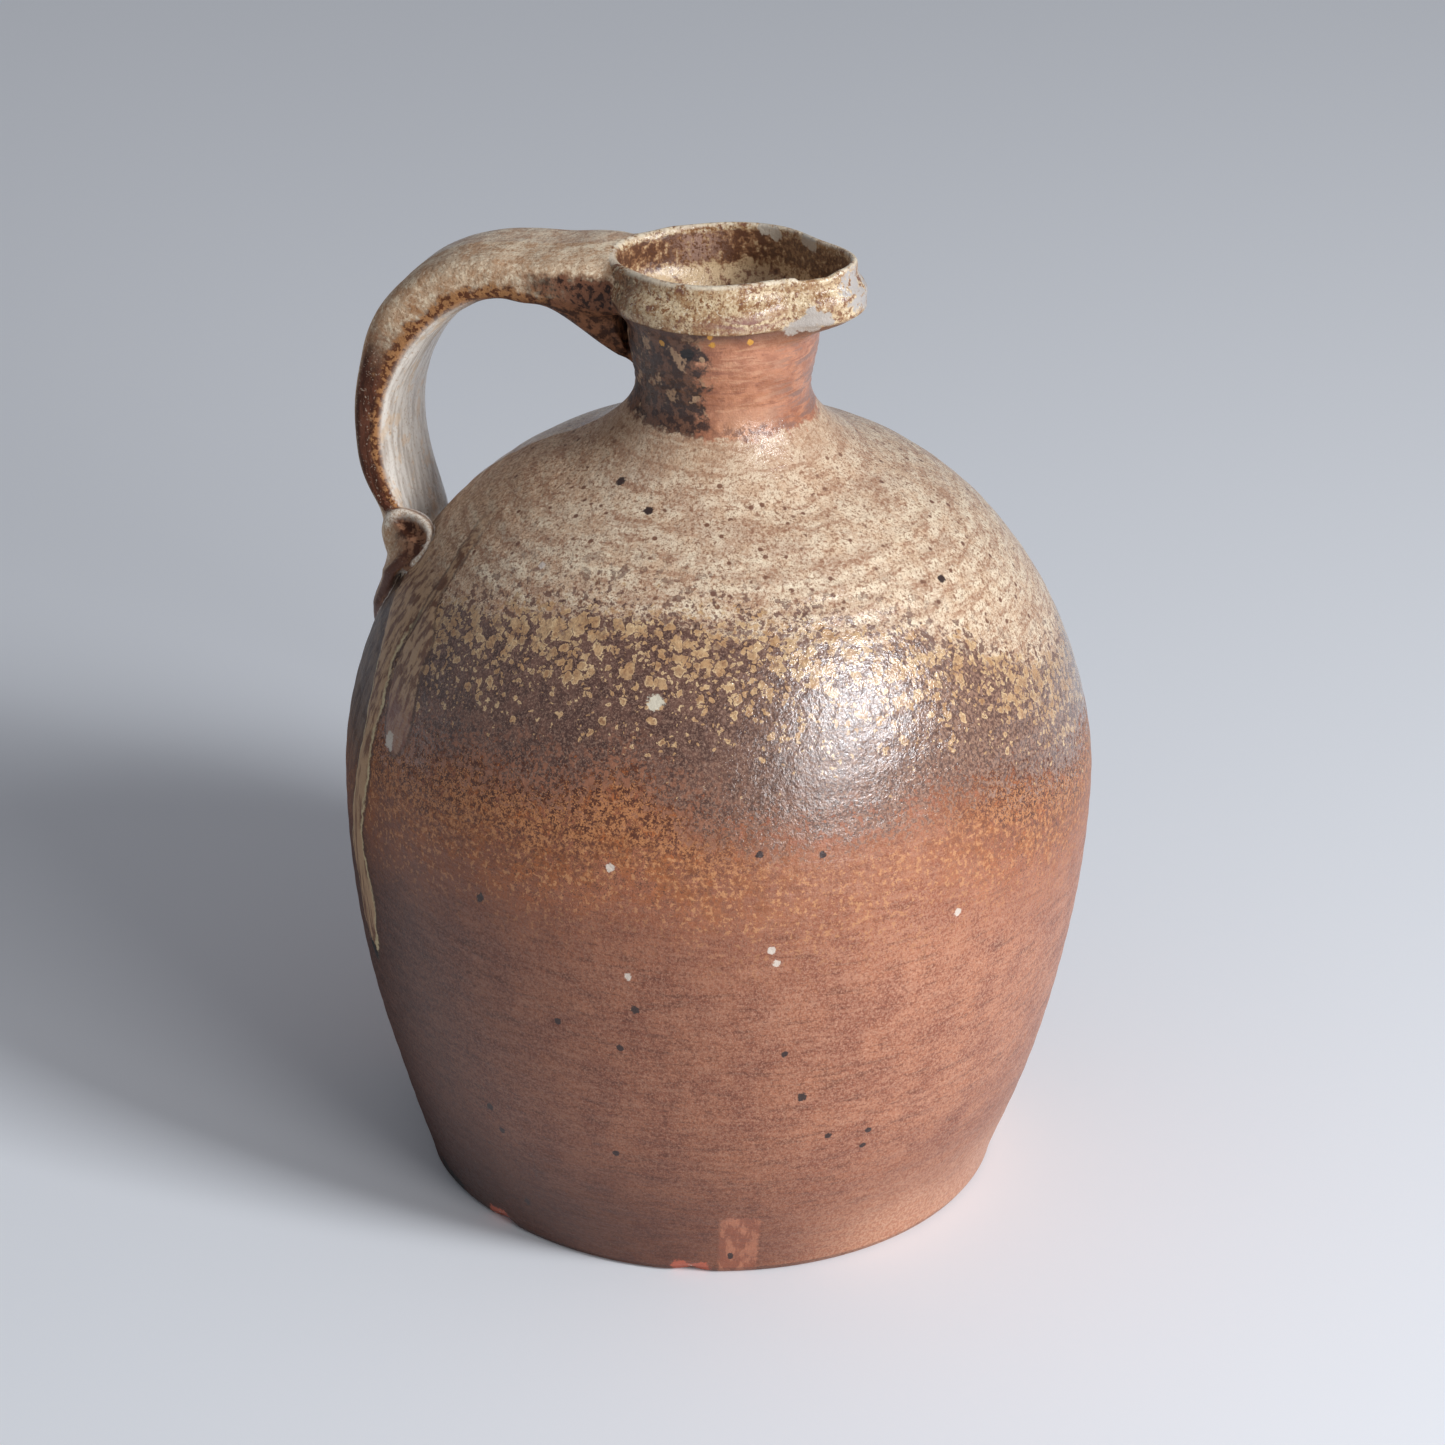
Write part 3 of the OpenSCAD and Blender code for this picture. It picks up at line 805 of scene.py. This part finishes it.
# neck: dark mottled glaze on the handle's side, salmon clay with fine level lines towards the lip
salmon = blend(fade(patch, 0.4, 0.62), "#a5694c", "#be8060")
salmon = blend(both(fade(streak, 0.52, 0.62), 0.5), salmon, "#d39d7b")
salmon = blend(both(fade(streak, 0.45, 0.36), 0.6), salmon, "#8a5440")
salmon = blend(both(fade(around, -50, -15), fade(streak, 0.45, 0.6)), salmon, "#8f6656")
salmon = blend(both(both(band(around, -56, 30), fade(pz, 213, 204)), 0.6), salmon, "#cd9a78")
mottle = blend(fade(blot, 0.46, 0.56), "#3f271e", "#724d39")
mottle = blend(both(fade(patch, 0.56, 0.62), 0.8), mottle, "#bd9877")
mottle = blend(both(fade(grain, 0.45, 0.37), 0.6), mottle, "#38231c")
neck = blend(fade(calc("ADD", around, both(blot, 44)), -64, -54), mottle, salmon)
neck_line = calc("ADD", pz, calc("SUBTRACT", both(blot, 8), 4))
skin = blend(both(fade(neck_line, 201.4, 203), fade(pz, 231, 229.5)), skin, neck)
# painted shade, speckled, in the crease round the base of the neck
shaded_ring = both(both(band(neck_line, 203.6, 2.2), band(around, -50, 48)), fade(speck, 0.42, 0.52))
skin = blend(both(shaded_ring, 0.85), skin, "#6a4536")
# painted shadow under the collar
collar_shadow = both(band(pz, 229.5, 4.5), both(neither(within), 0.75))
skin = blend(collar_shadow, skin, "#5f3b2b")

# collar and rim: cream ash again, freckled, with a purplish glossy roll under it
collar_ash = blend(fade(patch, 0.38, 0.6), "#ab8259", "#dac09a")
collar_ash = blend(both(fade(speck, 0.5, 0.56), fade(blot, 0.56, 0.46)), collar_ash, "#8a5c35")
collar_ash = blend(both(fade(grain, 0.47, 0.38), 0.8), collar_ash, "#7f5334")
collar_ash = blend(both(fade(blot, 0.41, 0.35), 0.85), collar_ash, "#7c5040")
collar_ash = blend(both(fade(grain, 0.56, 0.64), 0.6), collar_ash, "#f3e5ca")
by_strap = both(fade(around, -112, -140), fade(blot, 0.4, 0.52))
collar_ash = blend(both(by_strap, 0.8), collar_ash, blend(fade(speck, 0.44, 0.54), "#4d3024", "#8a6148"))
roll = both(band(pz, 233, 3), both(band(around, -58, 34), fade(streak, 0.38, 0.5)))
collar_ash = blend(both(roll, 0.9), collar_ash, "#865650")
skin = blend(fade(calc("ADD", pz, both(blot, 1.6)), 230.4, 231.4), skin, collar_ash)
rim_drop = calc("SUBTRACT", 240.5, calc("SUBTRACT", pz, both(px, 0.075)))
# painted highlight: a pale line along the edge of the rim
skin = blend(both(band(rim_drop, 0.1, 1.1), both(fade(blot, 0.38, 0.54), 0.75)), skin, "#efe0c8")

# inside of the mouth and neck
throat_dark = calc("ADD", halves(blot, speck), both(fade(rim_drop, 12, 7), 0.13))
throat = blend(fade(throat_dark, 0.5, 0.58), "#dcbd94", "#9a7050")
throat = blend(both(fade(throat_dark, 0.58, 0.65), 0.9), throat, "#5b3829")
# painted sheen, pinkish grey, on the inner wall of the mouth
sheen = both(band(around, 128, 26), fade(grain, 0.42, 0.54))
throat = blend(both(sheen, fade(rim_drop, 11, 8)), throat, "#ab8877")
throat = blend(both(fade(grain, 0.46, 0.37), 0.5), throat, "#805438")
throat = blend(fade(pz, 222, 200), throat, "#6d4a3a")
skin = blend(both(within, fade(calc("ADD", rim_drop, both(blot, 3)), 2.8, 3.8)), skin, throat)

# runs of glaze down the handle's side, one ending in a black drop and one in a white bead
def inside_run(run):
    """Millimetres in from the nearest edge of a run, read from its table, and its fade at the top."""
    low, high = run[0][0], run[-1][0]
    back = curve(pz, low, high, [(z, b) for z, b, f in run], 200)
    face = curve(pz, low, high, [(z, f) for z, b, f in run], 200)
    gap = calc("MINIMUM", calc("ADD", back, around), both(calc("ADD", face, around), -1))
    gap = calc("MINIMUM", both(gap, both(radius, math.radians(1))), calc("SUBTRACT", pz, low))
    return noisy(gap, blot, 3.4), fade(pz, high, high - 10)


olive_gap, olive_top = inside_run(OLIVE)
tongue_gap, tongue_top = inside_run(TONGUE)
behind = calc("SUBTRACT", -138, calc("ADD", around, both(fade(pz, 132, 158), 16)))
left_dark = both(fade(noisy(behind, blot, 12), 0, 4),
                 both(fade(pz, 170, 160), both(fade(pz, 96, 128), 0.9)))
skin = blend(left_dark, skin, blend(fade(drag, 0.4, 0.6), "#43322b", "#6f5c50"))
run_brown = blend(fade(drag, 0.42, 0.56), "#7b5641", "#bf9b79")
outlines = calc("MAXIMUM", both(band(olive_gap, -0.2, 1), olive_top),
                both(band(tongue_gap, -0.2, 1.1), tongue_top))
skin = blend(both(fade(olive_gap, 0, 0.7), both(olive_top, 0.95)), skin,
             blend(fade(calc("ADD", olive_gap, both(drag, 3)), 2.1, 3.2), "#d9c59c", run_brown))
skin = blend(both(fade(tongue_gap, 0, 0.7), tongue_top), skin,
             blend(both(fade(pz, 146, 136), 0.6), run_brown, "#8b5d52"))
skin = blend(both(outlines, 0.75), skin, "#553a2d")

# single marks: iron spots, white quartz specks, drops, ochre crumbs, chips and worn places
BODY_CENTRE = Vector((0, 0, 100))
mark_edge = noisy(noisy(0, speck, 3), grain, 2)
way = add("VectorMath", {0: mm, 1: BODY_CENTRE}, operation="SUBTRACT").outputs[0]
way = add("VectorMath", {0: way}, operation="NORMALIZE").outputs[0]


def marks(size, places, on_body=True):
    """1 inside ragged spots of one size at these places, seen from the body's centre if on it."""
    gap = None
    for place in places:
        start = Vector(place) - BODY_CENTRE
        ends = {0: way, 1: start.normalized()} if on_body else {0: mm, 1: place}
        one = add("VectorMath", ends, operation="DISTANCE").outputs["Value"]
        one = both(one, start.length) if on_body else one
        gap = one if gap is None else calc("MINIMUM", gap, one)
    gap = calc("ADD", gap, both(mark_edge, size * 0.5))
    return fade(gap, size * 1.1, size * 0.8)


iron_small = [(-4.7, -90.9, 77.9), (-24.5, -79.3, 36.6), (54.9, -65.5, 46.1), (62.4, -58, 45.1),
              (61, -57.8, 40.3), (30.5, -66.3, 6.1), (-20.7, -72.5, 13.2), (10.8, -89.9, 73.7),
              (47.4, -77, 73.1), (7.3, -83.6, 40.1), (54, -72, 125.7), (41.4, -79.6, 126.9)]
iron_large = [(-25.4, -88.9, 106), (-27.3, -80.2, 43.1), (50.5, -72.4, 59.7), (61.5, -15, 172.8),
              (-3.9, -37.9, 189), (-14.1, -30.5, 191.9), (14.8, -90.5, 85.3)]
quartz = [(-24.8, -52.6, 177.2), (8.4, -90.4, 122), (79.6, -47.2, 103.3), (45.2, -80.6, 102.8),
          (13.3, -91.3, 94.4), (46.1, -80.1, 99.2)]
pale_drop, bead, black_drop = [(12.9, -74.5, 158.4)], [(-59.5, -68.2, 131.2)], [(-66, -60, 69)]
ochre_crumbs = [(5.5, -23.3, 228.9), (5.8, -22.7, 226.7), (14.1, -18.9, 227.4), (-7.1, -21.9, 224.8)]
neck_drop = [(-0.4, -22.8, 223.5)]
collar_chip = [(22.4, -14, 229.8), (24.2, -13.2, 231), (26.2, -12.2, 232.3), (28.2, -11.2, 232.8),
               (26.6, -11.2, 230.6)]
chip_end = [(29.5, -10, 233), (30, -9.8, 231.6), (26.6, -12, 234.6)]
rim_chips = [(2, 21.3, 239.5), (5, 20.6, 239), (14.6, 16, 240.5), (16.6, 14.6, 240)]
worn_lip = [(33.6, -2, 237.5), (34, 1.5, 236.5)]
foot_soot = [(-52.2, -50.8, 3.5), (-49, -53.4, 2.4), (-46.3, -55.4, 1.4)]
foot_flakes = [(-33.3, -63.7, 1), (-31, -64.8, 1.6), (18.7, -69.2, 1.6), (23.3, -68, 1)]
flake_hearts = [(-32, -64.4, 0.3), (21, -68.8, 0.3)]
for where, colour in (
        (marks(0.9, iron_small), "#3a2420"), (marks(1.2, iron_large), "#3a2722"),
        (marks(1.0, quartz), "#dccbbd"), (marks(2.0, pale_drop), "#d8cdb8"),
        (marks(2.4, bead), "#cfc2b4"), (marks(3.0, black_drop), "#1d1614"),
        (marks(0.8, ochre_crumbs, False), "#d79a3c"), (marks(1.7, neck_drop, False), "#1b1210"),
        (marks(2.1, collar_chip, False), "#b8ada4"), (marks(1.5, chip_end, False), "#b8ada4"),
        (marks(1.9, rim_chips, False), "#cbbfae"),
        (both(marks(5, worn_lip, False), fade(blot, 0.4, 0.5)), "#b5ada8"),
        (marks(2.6, foot_soot, False), "#1e1613"), (marks(2.6, foot_flakes, False), "#c9664a"),
        (marks(1.6, flake_hearts, False), "#e3c9ba")):
    skin = blend(where, skin, colour)

# strap: cream on top, a freckled orange band along its edges, dark sides, a pale streaked underside
top_ash = blend(fade(patch, 0.38, 0.62), "#cca481", "#f0d8b9")
top_ash = blend(both(fade(pull, 0.53, 0.64), 0.5), top_ash, "#b78d6c")
top_ash = blend(both(fade(grain, 0.46, 0.36), 0.7), top_ash, "#9a6c4e")
top_ash = blend(both(fade(grain, 0.55, 0.64), 0.6), top_ash, "#f8eacf")
near_edge = calc("SUBTRACT", noisy(0, patch, 0.9), across_f)
top_ash = blend(both(both(fade(near_edge, 0.5, 1.0), fade(speck, 0.42, 0.52)), 0.5), top_ash, "#a9805f")
shed = noisy(face_f, patch, 1.6)
freckled = blend(fade(speck, 0.43, 0.53), "#663a22", "#b37f52")
# painted highlight along the lower edge of the strap's freckled band
freckled = blend(fade(face_f, -0.72, -0.98), freckled, "#dcab7c")
side = blend(fade(pull, 0.42, 0.6), "#4a281a", "#724431")
side = blend(both(fade(grain, 0.6, 0.66), 0.6), side, "#cbb59f")
side = blend(fade(shed, -0.15, -0.45), side, freckled)
arch = blend(fade(shed, 0.1, -0.35), top_ash, freckled)
side = blend(fade(calc("ADD", along_f, both(patch, 16)), 84, 66), side, arch)
by_rim = both(fade(calc("ADD", along_f, both(patch, 20)), 38, 20), fade(shed, 0.75, 0.35))
side = blend(by_rim, side, blend(fade(halves(blot, speck), 0.44, 0.54), "#33201a", "#7c523d"))
side = blend(both(fade(along_f, 118, 128), 0.5), side, "#6b4c40")
under_ash = blend(fade(pull, 0.34, 0.6), "#c6b9ad", "#f0e8de")
under_ash = blend(both(fade(patch, 0.53, 0.64), 0.5), under_ash, "#e6c49e")
under_ash = blend(both(fade(grain, 0.43, 0.34), 0.6), under_ash, "#b08a66")
under_ash = blend(fade(along_f, 48, 30), under_ash, blend(fade(blot, 0.42, 0.56), "#462c21", "#8a5d43"))
strap_skin = blend(fade(face_f, -0.35, 0.35), under_ash, top_ash)
strap_skin = blend(fade(calc("ABSOLUTE", across_f), 0.9, 0.985), strap_skin, side)
strap_skin = blend(both(fade(along_f, 126, 136), fade(patch, 0.3, 0.55)), strap_skin, "#76564b")
# painted shade in the thumb's hollow, and a painted highlight on the crest that curls round it
strap_skin = blend(hollow_shade, strap_skin, blend(fade(blot, 0.42, 0.56), "#4f2d1f", "#a3765a"))
strap_skin = blend(crest_highlight, strap_skin, blend(fade(grain, 0.4, 0.55), "#d3b79d", "#fbeedd"))
skin = blend(handle_f, skin, strap_skin)

shader = nodes["Principled BSDF"]
links.new(skin, shader.inputs["Base Color"])
# the dark glaze is the glassiest, the solid cream is satin, and the far left was left dry
glassy = both(dark_here, neither(both(solid, 0.72)))
dry = fade(around, -118, -142)
matt = calc("SUBTRACT", noisy(0.4, speck, 0.3), both(glassy, 0.1))
matt = calc("ADD", matt, calc("ADD", both(fade(above_dark, 2, -26), 0.05), both(dry, 0.2)))
links.new(matt, shader.inputs["Roughness"])
links.new(calc("SUBTRACT", 0.5, both(dry, 0.3)), shader.inputs["Specular IOR Level"])
coat = both(calc("ADD", both(glassy, 0.85), 0.1), neither(both(dry, 0.9)))
links.new(coat, shader.inputs["Coat Weight"])
shader.inputs["Coat Roughness"].default_value = 0.13
# grit and orange peel break up the highlight, and the bare clay has the wipes of a wet sponge
relief = calc("ADD", both(cloud(0.7, 2, 0.65), 0.19), both(cloud(3, 1), 0.3))
wipes = calc("ADD", 0.06, both(fade(pz, 134, 124), 0.16))
relief = calc("ADD", relief, both(cloud(1.4, 2, 0.6, level_mm), wipes))
relief = calc("SUBTRACT", relief, both(both(band(around, MARK_AT, 4.4), fade(pz, 24, 21)), 0.3))
bump = add("Bump", {"Height": relief, "Distance": MM, "Strength": 0.9})
links.new(bump.outputs[0], shader.inputs["Normal"])
links.new(bump.outputs[0], shader.inputs["Coat Normal"])

juglet.data.materials.clear()
juglet.data.materials.append(stoneware)
juglet.data.polygons.foreach_set("material_index", np.zeros(len(juglet.data.polygons), np.int32))
for mark in clay_marks:
    bpy.data.materials.remove(mark)
activate(juglet)
bpy.ops.object.shade_smooth()
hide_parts("jug")
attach(juglet, "root")

# Floor, light and camera: a plain pale floor, a window high on the right with the white wall
# beside it, placed where the juglet's highlight and its tail show them, and the camera of the
# photograph. The floor looks a little paler than the light that it throws back on the clay.

bpy.ops.object.select_all(action="DESELECT")
bpy.ops.mesh.primitive_plane_add(size=8)
floor = bpy.context.active_object
floor.name = "floor"
pale = bpy.data.materials.new("pale floor")
pale.use_nodes = True
nodes, links = pale.node_tree.nodes, pale.node_tree.links
ray = add("LightPath", {}).outputs
seen = calc("MAXIMUM", ray["Is Glossy Ray"], ray["Is Transmission Ray"])
seen = calc("MAXIMUM", ray["Is Camera Ray"], seen)
links.new(blend(seen, (0.72, 0.72, 0.7, 1), (0.86, 0.87, 0.9, 1)),
          nodes["Principled BSDF"].inputs["Base Color"])
pale.node_tree.nodes["Principled BSDF"].inputs["Roughness"].default_value = 0.9
floor.data.materials.append(pale)
floor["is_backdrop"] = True

world = bpy.data.worlds.new("room")
world.use_nodes = True
world.node_tree.nodes["Background"].inputs["Color"].default_value = (0.75, 0.78, 0.85, 1)
world.node_tree.nodes["Background"].inputs["Strength"].default_value = 0.31
bpy.context.scene.world = world


def area_light(name, way, distance, size, power, colour):
    lamp = bpy.data.lights.new(name, "AREA")
    lamp.shape, lamp.size, lamp.size_y = "RECTANGLE", size[0], size[1]
    lamp.energy, lamp.color = power, colour
    obj = bpy.data.objects.new(name, lamp)
    aim = Vector((0, 0, 0.13))
    obj.location = aim + Vector(way).normalized() * distance
    obj.rotation_euler = (aim - obj.location).to_track_quat("-Z", "Y").to_euler()
    bpy.context.scene.collection.objects.link(obj)
    return obj


area_light("window", (0.806, -0.2, 0.557), 1.6, (0.4, 0.48), 20.5, (0.92, 0.96, 1))
area_light("white wall", (0.79, -0.53, 0.3), 1.6, (0.5, 0.5), 7.5, (0.97, 0.985, 1))

FOCAL_PX, PHOTO_PX = 5033, 1445
AZIMUTH, ELEVATION, ROLL = math.radians(21), math.radians(27.01), math.radians(0.81)
VIEW_DISTANCE, AIM = 1.2497, Vector((0.00102, 0, 0.1157))
cam_data = bpy.data.cameras.new("camera")
cam_data.sensor_width, cam_data.lens = 36, 36 * FOCAL_PX / PHOTO_PX
camera = bpy.data.objects.new("camera", cam_data)
turn = Matrix.Rotation(AZIMUTH, 4, "Z")
back = Vector((0, -math.cos(ELEVATION), math.sin(ELEVATION)))
camera.matrix_world = (Matrix.Translation(turn @ (AIM + back * VIEW_DISTANCE)) @ turn
                       @ Matrix.Rotation(math.pi / 2 - ELEVATION, 4, "X")
                       @ Matrix.Rotation(ROLL, 4, "Z"))
bpy.context.scene.collection.objects.link(camera)
bpy.context.scene.camera = camera
bpy.context.scene.view_settings.view_transform = "Standard"

low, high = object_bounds()
